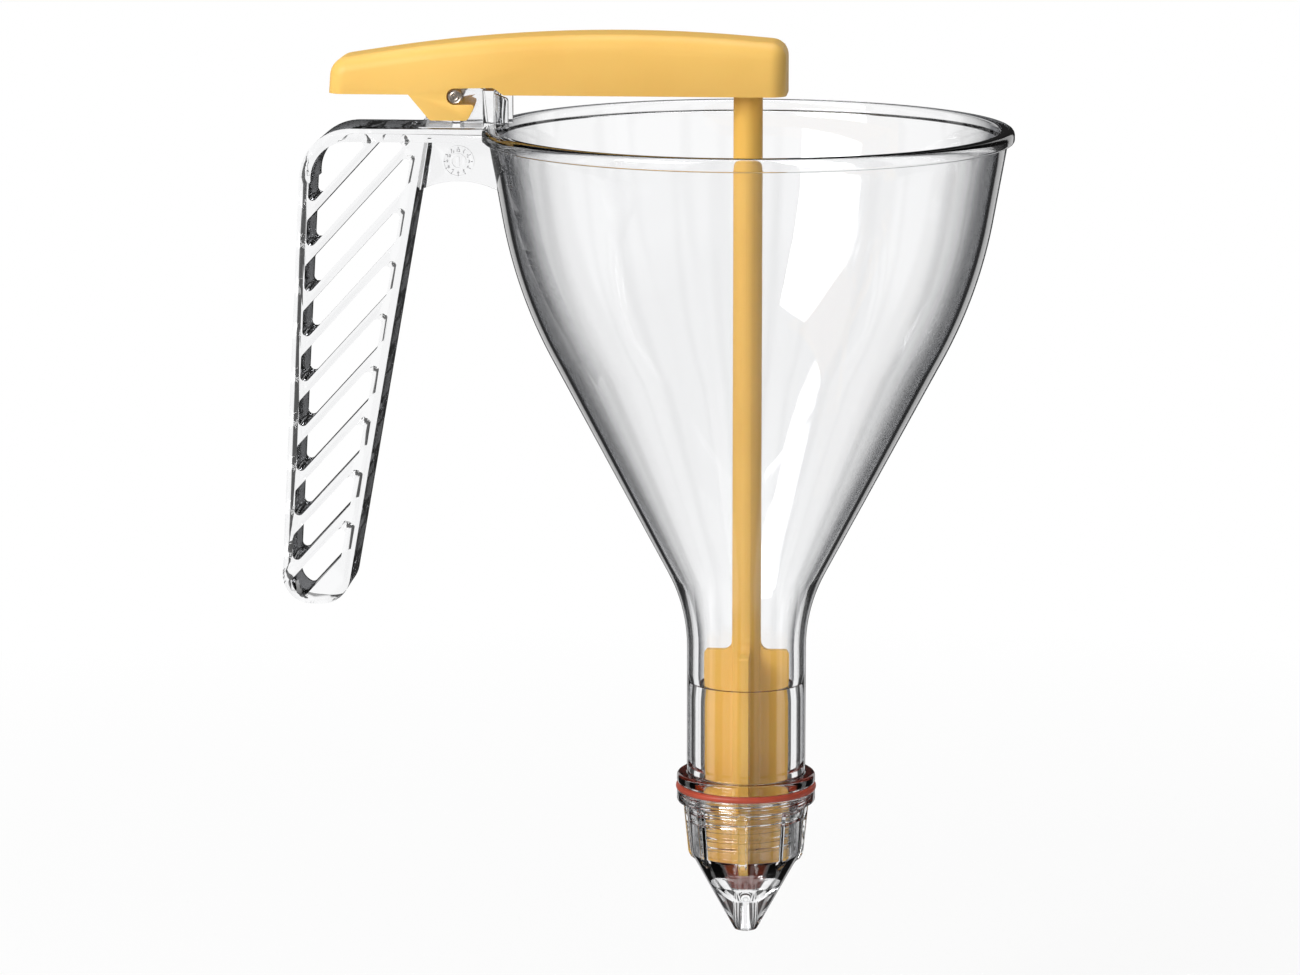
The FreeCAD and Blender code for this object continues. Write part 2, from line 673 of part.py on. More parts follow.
windowLow = linkHeight - windowReach
windowTop = linkHeight + windowReach
windowFront = windowReach + sz.linkTravel
linkWindow = bodyOutline(leverBody, "LinkWindow", "XZ_Plane", [
    (-windowReach, windowLow, sz.linkRadius * 0.5),
    (windowFront, windowLow, sz.linkRadius * 0.5),
    (windowFront, windowTop, sz.linkRadius * 0.5),
    (-windowReach, windowTop, sz.linkRadius * 0.5),
])
pad(leverBody, linkWindow, linkWidth * 1.05, "PartDesign::Pocket")

# Handle's grip: a closed frame with slanting bars
bridgeMiddle = sz.rimHeight - sz.beadHeight / 2
gripLow = sz.rimHeight - sz.gripEndDrop
gripKneeHeight = sz.rimHeight - sz.gripKneeDrop
insideLow = gripLow + sz.outerRail * 0.7
gripBlank = extrude("GripBlank", freeOutline("GripOutline", [
    (-gripInner, bridgeMiddle),
    (-gripCorner, bridgeMiddle, sz.gripCornerBend - sz.beadHeight / 2),
    (-gripEnd, gripLow, sz.gripEndBend),
    (-gripEnd + sz.gripEndWidth, gripLow, sz.gripEndBend),
    (-gripKnee, gripKneeHeight, sz.gripCornerBend * 3),
]), sz.gripWidth)
insideBlank = extrude("GripInside", freeOutline("GripInsideOutline", [
    (-gripInner - sz.innerRail, beadLow),
    (-gripCorner + sz.outerRail, beadLow, sz.gripCornerBend - sz.beadHeight),
    (-gripEnd + sz.outerRail, insideLow, sz.gripEndBend * 0.6),
    (-gripEnd + sz.gripEndWidth - sz.innerRail, insideLow, sz.gripEndBend * 0.5),
    (-gripKnee - sz.innerRail, gripKneeHeight, sz.gripCornerBend * 3),
]), sz.gripWidth * 1.1)
doc.recompute()


def windowEdges(shape, radius):
    """Corner edges of a window, each with the radius that its two walls leave room for."""
    picked = []
    for number, edge in enumerate(shape.Edges):
        ends = [vertex.Point for vertex in edge.Vertexes]
        if len(ends) != 2 or (ends[0] - ends[1]).cross(Vector(0, 1, 0)).Length > 1e-5:
            continue
        walls = [face for face in shape.Faces if any(edge.isSame(other) for other in face.Edges)]
        normals = [face.normalAt(*face.Surface.parameter(ends[0])) for face in walls]
        turn = normals[0].getAngle(normals[1])
        if turn < 0.05:
            continue
        room = min(face.Area for face in walls) / edge.Length * 0.4
        limited = min(radius, room / math.tan(turn / 2))
        picked.append((number + 1, limited, limited))
    return picked


slant = FreeCAD.Rotation(Vector(0, 1, 0), -sz.barAngle.number)
alongBar = slant.multVec(Vector(1, 0, 0))
acrossBar = slant.multVec(Vector(0, 0, 1))
slabLength = sz.gripEndOut * 1.5
slabBack = sz.barStep * 2
windowHeight = sz.barStep * math.cos(math.radians(sz.barAngle.number)) - sz.barThickness
leastWindow = sz.barStep * sz.windowRound * sz.gripWidth * 3
barTop = sz.rimHeight - sz.barTopDrop
windows = []
for i in range(int(sz.barCount.number) + 1):
    slab = doc.addObject("Part::Box", "WindowSlab%d" % i)
    bind(slab, "Length", slabLength)
    bind(slab, "Width", sz.gripWidth * 2)
    bind(slab, "Height", windowHeight if i else windowHeight * 3)
    foot = Vector(-gripCorner.number, -sz.gripWidth.number, (barTop - sz.barStep * i).number)
    origin = foot - alongBar * slabBack.number + acrossBar * (sz.barThickness.number / 2)
    slab.Placement = FreeCAD.Placement(origin, slant)
    opening = doc.addObject("Part::MultiCommon", "Window%d" % i)
    opening.Shapes = [slab, insideBlank]
    doc.recompute()
    if opening.Shape.Volume < leastWindow.number:
        doc.removeObject(opening.Name)
        doc.removeObject(slab.Name)
        continue
    rounded = doc.addObject("Part::Fillet", "RoundWindow%d" % i)
    rounded.Base = opening
    rounded.Edges = windowEdges(opening.Shape, sz.windowRound.number)
    windows.append(rounded)
gripFrame = cut("GripFrame", gripBlank, fuse("Windows", windows))

# Handle's bridge to the rim, and the arched web under it
cornerLow = sz.rimHeight - sz.gripCornerBend - sz.cornerFoot
bridge = extrude("Bridge", freeOutline("BridgeSide", [
    (-sz.rimRadius + sz.bridgeInto, beadLow),
    (-sz.rimRadius + sz.bridgeInto, sz.rimHeight),
    (-gripCorner, sz.rimHeight, sz.gripCornerBend),
    (-gripCorner - sz.cornerSkin, cornerLow),
    (-gripCorner + sz.outerRail, cornerLow),
    (-gripCorner + sz.outerRail, beadLow, sz.gripCornerBend - sz.beadHeight),
]), sz.bridgeWidth)
archHeight = sz.rimHeight - sz.webArchDrop
webLow = archHeight - sz.webFoot
webBlank = solidBar(
    "WebBlank", gripInner + sz.webInto - bendRadius, sz.webThickness,
    beadLow + sz.webSink - webLow, (-gripInner - sz.webInto, -sz.webThickness / 2, webLow))
archPlace = (-archMiddle, sz.webThickness * 4, archHeight - sz.webArchRadius)
arch = roundBar("WebArch", sz.webArchRadius, sz.webThickness * 8, archPlace)
web = cut("Web", webBlank, arch)

# Hinge bracket on the bridge: two plates, a wide post and a tie between them
bracketLow = sz.rimHeight - sz.bracketSink
coverTop = pivotHeight + sz.pivotRadius + sz.pivotCover
bracketBlank = extrude("BracketBlank", freeOutline("BracketSide", [
    (-bracketEnd, bracketLow),
    (-bracketEnd, postTop - sz.bracketSlope, sz.pivotRadius * 0.5),
    (-pivotReach + sz.pivotBoss * 1.2, coverTop),
    (-pivotReach - sz.pivotBoss * 0.62, coverTop, sz.pivotRadius * 1.2),
    (-pivotReach - sz.pivotBoss - sz.bracketFoot, bracketLow),
]), sz.bracketWidth)
gapStart = pivotReach + sz.pivotBoss + sz.bracketFoot * 1.5
bracketGap = solidBar(
    "BracketGap", gapStart - bracketEnd + sz.bracketPlate, sz.bracketWidth - sz.bracketPlate * 2,
    sz.postRise * 1.5, (-gapStart, -sz.bracketWidth / 2 + sz.bracketPlate, sz.rimHeight))
bracketPlates = cut("BracketPlates", bracketBlank, bracketGap)
post = solidBar(
    "Post", sz.postThickness, sz.postWidth, sz.postRise + sz.bracketSink,
    (-postFace, -sz.postWidth / 2, bracketLow))
tie = solidBar(
    "BracketTie", sz.bracketPlate, sz.bracketWidth, sz.pivotRise - sz.pivotBoss,
    (-pivotReach - sz.bracketPlate / 2, -sz.bracketWidth / 2, bracketLow))
bracket = fuse("Bracket", [bracketPlates, post, tie])
boreLength = sz.leverWidth * 1.2
pinBore = roundBar("PinBore", sz.pivotRadius, boreLength, (-pivotReach, boreLength / 2, pivotHeight))

# Dial on the web: two rings and a pointer
dialDepth = sz.webThickness / 2 + sz.dialRise
dialHeight = sz.rimHeight - sz.dialDrop
dialRings = []
for i, (outer, inner) in enumerate(((1.0, 0.88), (0.5, 0.38))):
    disc = roundBar("DialDisc%d" % i, sz.dialRadius * outer, dialDepth, (-archMiddle, ZERO, dialHeight))
    hole = roundBar("DialHole%d" % i, sz.dialRadius * inner, dialDepth, (-archMiddle, ZERO, dialHeight))
    dialRings.append(cut("DialRing%d" % i, disc, hole))
pointerWidth = sz.dialRadius * 0.16
pointerLength = sz.dialRadius * 0.6
pointer = solidBar(
    "DialPointer", pointerWidth, dialDepth, pointerLength,
    (-archMiddle - pointerWidth / 2, -dialDepth, dialHeight - pointerLength / 2))

# The outside of the funnel, filled, trims the handle to its wall
handleBlank = fuse("HandleBlank", [gripFrame, bridge, web, bracket, pointer] + dialRings)
coreBody = newBody("funnel_core")
coreSection = [(ZERO, flangeTop)] + outsideWall + [(ZERO, sz.rimHeight)]
revolve(coreBody, bodyOutline(coreBody, "CoreSection", "XZ_Plane", coreSection))
handle = cut("Handle", cut("HandleBored", handleBlank, pinBore), coreBody)
handle.Label = "handle"

doc.recompute()

# Check and write
failed = [item.Name for item in doc.Objects if "Invalid" in item.State or "Error" in item.State]
if failed:
    raise SystemExit("failed objects: " + ", ".join(failed))
pieces = [funnel, sealBody, nozzle, stopperBody, plungerBody, pivotPin, leverBody, handle]
os.makedirs("parts", exist_ok=True)
for piece in pieces:
    shape = piece.Shape
    if shape.isNull() or not shape.isValid():
        raise SystemExit("bad shape: " + piece.Label)
    box = shape.BoundBox
    spans = (box.XMin, box.XMax, box.YMin, box.YMax, box.ZMin, box.ZMax)
    print("%-12s solids %d volume %9.1f" % (piece.Label, len(shape.Solids), shape.Volume))
    print("%-12s x %.1f %.1f  y %.1f %.1f  z %.1f %.1f" % (("",) + spans))
    shape.exportStep("parts/%s.step" % piece.Label)
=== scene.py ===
import math

import bmesh
import bpy
import numpy as np
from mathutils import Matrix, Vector


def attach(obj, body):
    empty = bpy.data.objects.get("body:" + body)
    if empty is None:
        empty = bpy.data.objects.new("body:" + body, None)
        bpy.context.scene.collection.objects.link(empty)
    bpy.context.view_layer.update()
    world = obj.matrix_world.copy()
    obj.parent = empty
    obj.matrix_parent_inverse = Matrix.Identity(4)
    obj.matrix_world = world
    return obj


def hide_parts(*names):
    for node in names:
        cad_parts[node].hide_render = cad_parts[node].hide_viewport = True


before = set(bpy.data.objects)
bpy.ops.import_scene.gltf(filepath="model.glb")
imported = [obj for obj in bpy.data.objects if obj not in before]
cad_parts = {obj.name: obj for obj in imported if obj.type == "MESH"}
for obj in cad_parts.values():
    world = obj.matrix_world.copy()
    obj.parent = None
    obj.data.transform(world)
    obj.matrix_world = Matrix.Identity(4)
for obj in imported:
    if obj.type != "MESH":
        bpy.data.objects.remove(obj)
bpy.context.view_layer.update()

mm = 0.001
print("frame loaded:", sorted(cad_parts))


# Surfaces worked out with numpy, in millimetres

# An arc has start points and one more for every perRadius of its radius, from least to most
arcPoints = {"start": 5, "perRadius": 6, "least": 3, "most": 40}


# Points along a closed outline of (across, up, radius, step) corners. Each corner is an arc tangent
# to both of its sides, and the side after it is divided into steps no longer than its step.
def roundedProfile(corners, step):
    flat = [np.array(corner[:2], float) for corner in corners]
    arcs = []
    for i, corner in enumerate(flat):
        before, after = flat[i - 1] - corner, flat[(i + 1) % len(flat)] - corner
        before, after = before / np.linalg.norm(before), after / np.linalg.norm(after)
        half = 0.5 * math.acos(np.clip(before @ after, -1, 1))
        radius = corners[i][2]
        middle = (before + after) / np.linalg.norm(before + after)
        centre = corner + middle * radius / math.sin(half)
        a = corner + before * radius / math.tan(half) - centre
        b = corner + after * radius / math.tan(half) - centre
        turn = math.acos(np.clip(a @ b / (radius * radius), -1, 1))
        wanted = int(arcPoints["start"] + radius / arcPoints["perRadius"])
        count = max(arcPoints["least"], min(arcPoints["most"], wanted))
        swing = np.linspace(0, 1, count)[:, None]
        arc = np.sin((1 - swing) * turn) * a + np.sin(swing * turn) * b
        arcs.append(centre + arc / math.sin(turn))
    path = []
    for i, arc in enumerate(arcs):
        path.append(arc)
        gap = arcs[(i + 1) % len(arcs)][0] - arc[-1]
        longest = corners[i][3] if len(corners[i]) > 3 else step
        count = int(np.linalg.norm(gap) // longest)
        if count > 0:
            path.append(arc[-1] + np.arange(1, count + 1)[:, None] / (count + 1) * gap)
    return np.concatenate(path)


# Quads of a grid of rows by columns of points. The rows close on themselves, and so may the columns.
def gridFaces(rows, columns, closedColumns=True):
    j = np.arange(columns if closedColumns else columns - 1)
    i, j = np.meshgrid(np.arange(rows), j, indexing="ij")
    down, right = (i + 1) % rows, (j + 1) % columns
    quads = [i * columns + j, i * columns + right, down * columns + right, down * columns + j]
    return np.stack(quads, -1).reshape(-1, 4)


# A mesh object at the origin, its faces turned outwards
def meshObject(name, points, faces):
    mesh = bpy.data.meshes.new(name)
    corners = [[int(v) for v in face] for face in faces]
    mesh.from_pydata((np.asarray(points) * mm).tolist(), [], corners)
    work = bmesh.new()
    work.from_mesh(mesh)
    bmesh.ops.recalc_face_normals(work, faces=work.faces)
    work.to_mesh(mesh)
    work.free()
    mesh.shade_smooth()
    piece = bpy.data.objects.new(name, mesh)
    bpy.context.scene.collection.objects.link(piece)
    return piece


# A closed section turned about Z: (r cos a, r sin a, z). shift(angle, radius, height) is added to r.
def turned(name, corners, steps=192, shift=None, step=4.0):
    section = roundedProfile(corners, step)
    angle = np.linspace(0, 2 * np.pi, steps, endpoint=False)[:, None]
    radius, height = section[:, 0] + 0 * angle, section[:, 1] + 0 * angle
    if shift is not None:
        radius = radius + shift(angle, radius, height)
    points = np.stack([radius * np.cos(angle), radius * np.sin(angle), height], -1)
    return meshObject(name, points.reshape(-1, 3), gridFaces(steps, len(section)))


# A line of (radius, along) points turned about an axis along Y through centre: (x + r cos a, along,
# z + r sin a), closed by a fan to one point at each pole
def turnedBar(name, line, centre, steps=96):
    angle = np.linspace(0, 2 * np.pi, steps, endpoint=False)[:, None]
    radius, along = np.array(line)[:, 0] + 0 * angle, np.array(line)[:, 1] + 0 * angle
    across = centre[0] + radius * np.cos(angle)
    up = centre[1] + radius * np.sin(angle)
    points = np.stack([across, along, up], -1)
    poles = [[centre[0], line[0][1], centre[1]], [centre[0], line[-1][1], centre[1]]]
    count = len(line)
    first = np.arange(steps) * count
    following = np.roll(first, -1)
    base = steps * count
    fans = [np.stack([0 * first + base, first, following], -1),
            np.stack([0 * first + base + 1, following + count - 1, first + count - 1], -1)]
    faces = gridFaces(steps, count, False).tolist() + np.concatenate(fans).tolist()
    return meshObject(name, np.concatenate([points.reshape(-1, 3), poles]), faces)


# 0 below low, 1 above high, and three s squared less two s cubed between them
def wave(low, high, value):
    share = np.clip((value - low) / (high - low), 0, 1)
    return share * share * (3 - 2 * share)


# Height 0 to 1 of a screw's ridge: a trapezoid round each turn's middle, its half widths foot and crest
# in parts of the pitch, faded out over half a turn at both ends
def screw(angle, height, low, pitch, count, foot, crest):
    turns = (height - low) / pitch - angle / (2 * np.pi)
    phase = np.abs(turns - np.round(turns))
    beyond, within = 0.4, 0.1
    starts = wave(-beyond, within, turns)
    stops = wave(count - within, count + beyond, turns)
    return starts * (1 - stops) * np.clip((foot - phase) / (foot - crest), 0, 1)


# Copies of CAD nodes: points nearer than merge, in metres, become one, faces within flat degrees become
# one face, and only edges sharper than sharp degrees are rounded or kept as edges
copyRule = {"merge": 2e-6, "flat": 0.4, "sharp": 28.0}


# A copy of a CAD node with its edges rounded by width, or left sharp where there is none
def refined(node, name, width=0.0, segments=0):
    piece = bpy.data.objects.new(name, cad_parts[node].data.copy())
    bpy.context.scene.collection.objects.link(piece)
    work = bmesh.new()
    work.from_mesh(piece.data)
    bmesh.ops.remove_doubles(work, verts=work.verts, dist=copyRule["merge"])
    flat = math.radians(copyRule["flat"])
    bmesh.ops.dissolve_limit(work, angle_limit=flat, verts=work.verts, edges=work.edges)
    work.to_mesh(piece.data)
    work.free()
    piece.data.shade_smooth()
    sharp = math.radians(copyRule["sharp"])
    if width:
        bevel = piece.modifiers.new("rounding", "BEVEL")
        bevel.width = width * mm
        bevel.segments = segments
        bevel.limit_method = "ANGLE"
        bevel.angle_limit = sharp
        bevel.use_clamp_overlap = True
        bevel.harden_normals = True
        bevel.miter_outer = "MITER_ARC"
    else:
        piece.data.set_sharp_from_angle(angle=sharp)
    return piece


# Shader maths written as expressions: a socket that adds its Math nodes
class Wire:
    def __init__(self, tree, socket=None):
        self.tree = tree
        self.socket = socket

    # A node of any type: its settings first, then its sockets by name, or by number as i0, i1
    def node(self, kind, settings=(), output=0, **inputs):
        made = self.tree.nodes.new(kind)
        for key, value in dict(settings).items():
            setattr(made, key, value)
        for key, value in inputs.items():
            numbered = key[0] == "i" and key[1:].isdigit()
            slot = made.inputs[int(key[1:])] if numbered else made.inputs[key.replace("_", " ")]
            if isinstance(value, Wire):
                self.tree.links.new(value.socket, slot)
            else:
                slot.default_value = value
        return Wire(self.tree, made.outputs[output])

    def math(self, operation, *values):
        numbered = {"i%d" % n: value for n, value in enumerate(values)}
        return self.node("ShaderNodeMath", {"operation": operation}, **numbered)

    def __add__(self, other):
        return self.math("ADD", self, other)

    def __radd__(self, other):
        return self.math("ADD", other, self)

    def __sub__(self, other):
        return self.math("SUBTRACT", self, other)

    def __rsub__(self, other):
        return self.math("SUBTRACT", other, self)

    def __mul__(self, other):
        return self.math("MULTIPLY", self, other)

    def __rmul__(self, other):
        return self.math("MULTIPLY", other, self)

    def size(self):
        return self.math("ABSOLUTE", self)

    # Maps low..high to start..end and stays there outside it
    def clamp(self, low, high, start=0.0, end=1.0):
        return self.node("ShaderNodeMapRange", {"clamp": True},
                         i0=self, i1=low, i2=high, i3=start, i4=end)

    # The X, Y and Z of a vector
    def axes(self):
        first = self.node("ShaderNodeSeparateXYZ", i0=self)
        return [Wire(self.tree, socket) for socket in first.socket.node.outputs]


def noise(place, scale, detail=2.0):
    return place.node("ShaderNodeTexNoise", Vector=place, Scale=scale, Detail=detail)


def mixColour(share, first, second):
    return share.node("ShaderNodeMix", {"data_type": "RGBA"}, output=2, i0=share, i6=first, i7=second)


# A new material, its Object coordinates and its Principled shader
def newMaterial(name):
    material = bpy.data.materials.new(name)
    material.use_nodes = True
    tree = material.node_tree
    place = Wire(tree).node("ShaderNodeTexCoord", output="Object")
    return material, place, tree.nodes["Principled BSDF"]


def setShader(shader, **values):
    for key, value in values.items():
        socket = shader.inputs[key.replace("_", " ")]
        if isinstance(value, Wire):
            shader.id_data.links.new(value.socket, socket)
        else:
            socket.default_value = value


# What is known of the ray that meets the surface: its kind, or its depth
def rayKind(tree, name):
    return Wire(tree).node("ShaderNodeLightPath", output=name)


# 0 for a ray that only passed through clear surfaces, 1 once a surface has thrown it back
def bentRay(tree):
    return (rayKind(tree, "Ray Depth") - rayKind(tree, "Transmission Depth")).clamp(0.0, 1.0)


# Puts a mix of the Principled shader and another one on the surface
def mixShaders(material, share, other):
    tree = material.node_tree
    own = Wire(tree, tree.nodes["Principled BSDF"].outputs[0])
    blend = share.node("ShaderNodeMixShader", i0=share, i1=own, i2=other)
    tree.links.new(blend.socket, tree.nodes["Material Output"].inputs["Surface"])


# What can be changed about each finish. tint is a clear wall's colour face on, and the colour after it is
# painted shade that the wall turns to at a glance, standing in for the dark surroundings seen through and
# in its edges. The two numbers after that are where it turns from one to the other, and letThrough is the
# light that gets past it.
clearLook = {"tint": (0.984, 0.986, 0.99, 1), "edge": (0.07, 0.072, 0.079, 1),
             "edgeStart": 0.38, "edgeEnd": 0.73, "roughness": 0.012, "ior": 1.5,
             "flow": 0.05, "flowScale": 18.0, "flowDepth": 0.002, "smearScale": 60.0,
             "smearRange": (0.3, 0.8), "smearTimes": 3, "letThrough": 0.82}
# The grip is the same clear plastic with a slightly greyer tint, and its painted edge shade starts nearer
# face on
gripLook = dict(clearLook, tint=(0.955, 0.957, 0.963, 1), edge=(0.07, 0.072, 0.078, 1),
                edgeStart=0.1, edgeEnd=0.6, flow=0.12, letThrough=0.85)
markLook = dict(clearLook, tint=(0.3, 0.3, 0.31, 1), edge=(0.05, 0.05, 0.055, 1),
                edgeStart=0.3, edgeEnd=0.9, roughness=0.25, letThrough=0.7)


# Clear moulded plastic: white seen face on, with painted shade at a glance that stands in for the dark
# surroundings seen through its edges, and faint flow marks
def clearPlastic(name, look):
    material, place, shader = newMaterial(name)
    glance = place.node("ShaderNodeLayerWeight", output=1, Blend=0.5)
    # Painted shade: the wall's colour turns to the dark one as it is seen at a glance
    edge = glance.clamp(look["edgeStart"], look["edgeEnd"])
    colour = mixColour(edge, look["tint"], look["edge"])
    flow = noise(place, look["flowScale"])
    bump = place.node("ShaderNodeBump", Strength=look["flow"], Distance=look["flowDepth"], Height=flow)
    smear = noise(place, look["smearScale"], detail=3.0)
    rough = smear.clamp(*look["smearRange"], look["roughness"], look["roughness"] * look["smearTimes"])
    setShader(shader, Base_Color=colour, Roughness=rough, Normal=bump, IOR=look["ior"],
              Transmission_Weight=1.0)
    tree = material.node_tree
    passing = rayKind(tree, "Is Shadow Ray") + rayKind(tree, "Is Diffuse Ray")
    share = passing.clamp(0.0, 1.0) * look["letThrough"]
    mixShaders(material, share, place.node("ShaderNodeBsdfTransparent"))
    return material


# body and deep are the two tones of a cloudy colour, and rougher is what its clouds add to the roughness
amberLook = {"body": (0.86, 0.54, 0.14, 1), "deep": (0.79, 0.465, 0.105, 1), "cloudScale": 25.0,
             "toneRange": (0.3, 0.75), "roughRange": (0.3, 0.7), "roughness": 0.38, "rougher": 0.1,
             "grain": 0.05, "grainScale": 1500.0, "grainDepth": 0.0002, "specular": 0.32,
             "glow": 0.08, "glowDepth": 0.004}
plungerLook = dict(amberLook, body=(0.78, 0.465, 0.097, 1), deep=(0.72, 0.405, 0.075, 1), specular=0.3)


# Amber moulded plastic, a little cloudy, with a fine satin grain
def amberPlastic(name, look):
    material, place, shader = newMaterial(name)
    cloud = noise(place, look["cloudScale"], detail=3.0)
    colour = mixColour(cloud.clamp(*look["toneRange"]), look["body"], look["deep"])
    grain = noise(place, look["grainScale"])
    bump = place.node("ShaderNodeBump", Strength=look["grain"], Distance=look["grainDepth"], Height=grain)
    rough = cloud.clamp(*look["roughRange"], look["roughness"], look["roughness"] + look["rougher"])
    setShader(shader, Base_Color=colour, Roughness=rough, Normal=bump, Subsurface_Weight=look["glow"],
              Subsurface_Scale=look["glowDepth"], Specular_IOR_Level=look["specular"])
    return material


sealLook = {"body": (0.46, 0.062, 0.028, 1), "deep": (0.33, 0.045, 0.02, 1), "cloudScale": 90.0,
            "toneRange": (0.35, 0.75), "roughRange": (0.2, 0.8), "roughness": 0.38, "rougher": 0.15,
            "grain": 0.08, "grainScale": 900.0, "grainDepth": 0.0003}
stopperLook = dict(sealLook, body=(0.20, 0.036, 0.02, 1), deep=(0.14, 0.022, 0.012, 1), roughness=0.5)


# Soft silicone with a dusty satin skin
def silicone(name, look):
    material, place, shader = newMaterial(name)
    cloud = noise(place, look["cloudScale"], detail=3.0)
    colour = mixColour(cloud.clamp(*look["toneRange"]), look["body"], look["deep"])
    grain = noise(place, look["grainScale"])
    bump = place.node("ShaderNodeBump", Strength=look["grain"], Distance=look["grainDepth"], Height=grain)
    rough = cloud.clamp(*look["roughRange"], look["roughness"], look["roughness"] + look["rougher"])
    setShader(shader, Base_Color=colour, Roughness=rough, Normal=bump)
    return material


steelLook = {"body": (0.60, 0.55, 0.50, 1), "deep": (0.42, 0.34, 0.27, 1),
             "toneRange": (0.3, 0.7), "roughRange": (0.2, 0.8), "roughness": 0.24, "rougher": 0.12,
             "grain": 0.1, "grainScale": 2500.0, "grainDepth": 0.0001}


# Stainless steel with fine turning marks
def turnedSteel(name, look):
    material, place, shader = newMaterial(name)
    fine = noise(place, look["grainScale"])
    colour = mixColour(fine.clamp(*look["toneRange"]), look["body"], look["deep"])
    bump = place.node("ShaderNodeBump", Strength=look["grain"], Distance=look["grainDepth"], Height=fine)
    rough = fine.clamp(*look["roughRange"], look["roughness"], look["roughness"] + look["rougher"])
    setShader(shader, Base_Color=colour, Metallic=1.0, Roughness=rough, Normal=bump)
    return material


clearMaterial = clearPlastic("clearPlastic", clearLook)
gripMaterial = clearPlastic("gripPlastic", gripLook)
markMaterial = clearPlastic("frostedMarks", markLook)
amberMaterial = amberPlastic("amberPlastic", amberLook)
plungerMaterial = amberPlastic("plungerPlastic", plungerLook)
sealMaterial = silicone("sealSilicone", sealLook)
stopperMaterial = silicone("stopperSilicone", stopperLook)
steelMaterial = turnedSteel("pinSteel", steelLook)
print("materials made")


# Gives a piece its material and the body it moves with, and hides the CAD node it stands in for
def finishPiece(piece, material, body, node=None):
    piece.data.materials.clear()
    piece.data.materials.append(material)
    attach(piece, body)
    if node:
        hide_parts(node)


# Funnel: sizes in millimetres, and how far each corner of its section is rounded
funnelSize = {"rim": 72.5, "rimTop": 225.0, "bead": 3.6, "wallTop": 70.7, "wall": 2.2, "bendRadius": 63.4,
              "bendHeight": 180.1, "bowlBend": 130.0, "throatHeight": 91.8, "throatBend": 45.0,
              "neck": 16.45, "neckWall": 3.15, "neckStep": 70.6, "neckBore": 12.05, "neckEnd": 22.6,
              "flange": 19.2, "flangeLow": 42.0, "flangeTop": 45.2, "thread": 13.9, "threadDepth": 0.7,
              "pitch": 2.75, "threadLow": 23.5, "threadTurns": 4.2, "threadFoot": 0.26,
              "threadCrest": 0.11, "threadRow": 0.22, "threadShort": 0.3, "onRoot": 0.02,
              "collarLow": 36.9, "steps": 256,
              "rounding": {"end": 0.2, "collar": 0.1, "collarFoot": 0.25, "underFlange": 0.15,
                           "flangeLow": 1.0, "flangeTop": 1.1, "neck": 0.5, "beadFoot": 0.35,
                           "beadLow": 0.9, "beadTop": 1.5, "mouth": 1.0, "step": 0.3}}


# Section of the wall turned about Z, with a screw ridge added to the radius of the threaded end
def makeFunnel(size):
    bend = size["rounding"]
    beadLow = size["rimTop"] - size["bead"]
    root = size["thread"] - size["threadDepth"]
    run, rise = size["bendRadius"] - size["neck"], size["bendHeight"] - size["throatHeight"]
    inside = size["neck"] - size["neckWall"]
    stretch = math.hypot(run, rise) / rise
    throatInside = size["throatHeight"] - (size["neckWall"] - size["wall"] * stretch) * rise / run
    bowlInside = size["bendRadius"] - size["wall"], size["bendHeight"] + size["wall"] / 3
    corners = [
        (root, size["neckEnd"], bend["end"], size["threadRow"]),
        (root, size["collarLow"], bend["collar"]),
        (size["thread"], size["collarLow"], bend["collarFoot"]),
        (size["thread"], size["flangeLow"], bend["underFlange"]),
        (size["flange"], size["flangeLow"], bend["flangeLow"]),
        (size["flange"], size["flangeTop"], bend["flangeTop"]),
        (size["neck"], size["flangeTop"], bend["neck"]),
        (size["neck"], size["throatHeight"], size["throatBend"]),
        (size["bendRadius"], size["bendHeight"], size["bowlBend"]),
        (size["wallTop"], beadLow, bend["beadFoot"]),
        (size["rim"], beadLow, bend["beadLow"]),
        (size["rim"], size["rimTop"], bend["beadTop"]),
        (size["wallTop"] - size["wall"], size["rimTop"], bend["mouth"]),
        (*bowlInside, size["bowlBend"]),
        (inside, throatInside, size["throatBend"]),
        (inside, size["neckStep"], bend["step"]),
        (size["neckBore"], size["neckStep"], bend["step"]),
        (size["neckBore"], size["neckEnd"], bend["end"])]

    def thread(angle, radius, height):
        below = height < size["collarLow"] - size["threadShort"]
        onRoot = (np.abs(radius - root) < size["onRoot"]) & below
        ridge = screw(angle, height, size["threadLow"], size["pitch"], size["threadTurns"],
                      size["threadFoot"], size["threadCrest"])
        return onRoot * size["threadDepth"] * ridge

    return turned("funnel_clear", corners, size["steps"], thread)


funnelPiece = makeFunnel(funnelSize)
finishPiece(funnelPiece, clearMaterial, "frame", "funnel")
print("funnel made:", len(funnelPiece.data.polygons))

# Handle, lever and plunger: their solids with rounded edges
handleEdges = {"width": 0.55, "segments": 4}
handlePiece = refined("handle", "handle_clear", **handleEdges)
finishPiece(handlePiece, gripMaterial, "frame", "handle")

leverEdges = {"width": 0.25, "segments": 2}
leverPiece = refined("lever", "lever_amber", **leverEdges)
finishPiece(leverPiece, amberMaterial, "lever", "lever")

plungerEdges = {"width": 0.2, "segments": 2}
plungerPiece = refined("plunger", "plunger_amber", **plungerEdges)
finishPiece(plungerPiece, plungerMaterial, "plunger", "plunger")
print("handle, lever and plunger rounded")

# Hinge pin with turned rings in its ends
pinSize = {"reach": -79.2, "height": 233.8, "radius": 2.1, "half": 10.15,
           "rings": (0.55, 0.95, 1.35, 1.7), "ringStep": 0.12, "ringGap": 0.1, "groove": 0.14,
           "pole": 0.02, "chamfer": 0.3, "sharp": 35}


